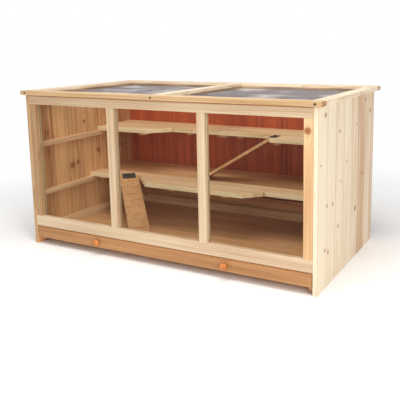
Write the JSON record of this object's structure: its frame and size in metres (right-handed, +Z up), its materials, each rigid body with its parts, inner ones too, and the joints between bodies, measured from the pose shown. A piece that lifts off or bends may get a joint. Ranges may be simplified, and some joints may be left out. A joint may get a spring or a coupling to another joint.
{
  "type": "wooden rodent cage",
  "caption": "Wooden box cage with clear front windows, a hinged glazed lid, two shelves with swing-up ramps and a pull-out tray.",
  "frame": {"origin": "middle of the bottom of the whole cage, on the floor, with the lid closed, the tray in and both ramps down", "axes": "+X to the right as seen from the front, +Y to the back, +Z up"},
  "size_m": [1.15, 0.65, 0.575],
  "materials": {
    "pine": "clear satin lacquer",
    "stained_pine": "satin stain",
    "red_plywood": "satin",
    "pale_plywood": "bare",
    "clear_glass": "clear float",
    "zinc_steel": "zinc plated"
  },
  "bodies": {
    "body": {"back_panel": "red_plywood", "body_hinge_screws": "zinc_steel", "front_bottom_rail": "pine", "front_top_rail": "pine", "left_lower_batten": "pine", "left_mullion": "pine", "left_side_panel": "pine", "left_stile": "pine", "left_tray_runner": "pine", "left_upper_batten": "pine", "left_window": "clear_glass", "lid_hinge_body_leaves": "zinc_steel", "lower_front_board": "pine", "lower_ledger": "pine", "lower_ramp_shelf_leaf": "zinc_steel", "lower_rear_board": "pine", "lower_second_board": "pine", "lower_shelf_cleats": "pine", "lower_third_board": "pine", "middle_window": "clear_glass", "rear_bottom_rail": "pine", "rear_top_rail": "pine", "right_lower_batten": "pine", "right_mullion": "pine", "right_side_panel": "pine", "right_stile": "pine", "right_tray_runner": "pine", "right_upper_batten": "pine", "right_window": "clear_glass", "upper_ledger": "pine", "upper_left_front_board": "pine", "upper_left_rear_board": "pine", "upper_ramp_shelf_leaf": "zinc_steel", "upper_right_front_board": "pine", "upper_right_rear_board": "pine", "upper_shelf_cleats": "pine", "window_strips": "pine"},
    "lid": {"lid_back_rail": "pine", "lid_front_rail": "pine", "lid_hinge_lid_leaves": "zinc_steel", "lid_left_pane": "clear_glass", "lid_left_rail": "pine", "lid_middle_bar": "pine", "lid_right_pane": "clear_glass", "lid_right_rail": "pine", "lid_screws": "zinc_steel"},
    "tray": {"left_knob": "stained_pine", "right_knob": "stained_pine", "tray_back": "pine", "tray_bottom": "pale_plywood", "tray_front": "stained_pine", "tray_left_side": "pine", "tray_right_side": "pine"},
    "lower_ramp": {"lower_ramp_board": "pine", "lower_ramp_leaf": "zinc_steel", "lower_ramp_screws": "zinc_steel"},
    "upper_ramp": {"upper_ramp_board": "pine", "upper_ramp_leaf": "zinc_steel", "upper_ramp_screws": "zinc_steel"}
  },
  "joints": [
    {"name": "lid_swing", "type": "hinge", "parent": "body", "child": "lid", "pos_m": [0, 0.2903, 0.5567], "axis": [-1, 0, 0], "range_deg": [0, 95]},
    {"name": "tray_slide", "type": "slide", "parent": "body", "child": "tray", "axis": [0, -1, 0], "range_m": [0, 0.36]},
    {"name": "lower_ramp_swing", "type": "hinge", "parent": "body", "child": "lower_ramp", "pos_m": [-0.36744, 0.02581, 0.2135], "axis": [-0.7071, -0.7071, 0], "range_deg": [0, 100]},
    {"name": "upper_ramp_swing", "type": "hinge", "parent": "body", "child": "upper_ramp", "pos_m": [0.2425, 0.097, 0.3985], "axis": [0, 1, 0], "range_deg": [0, 55]}
  ]
}
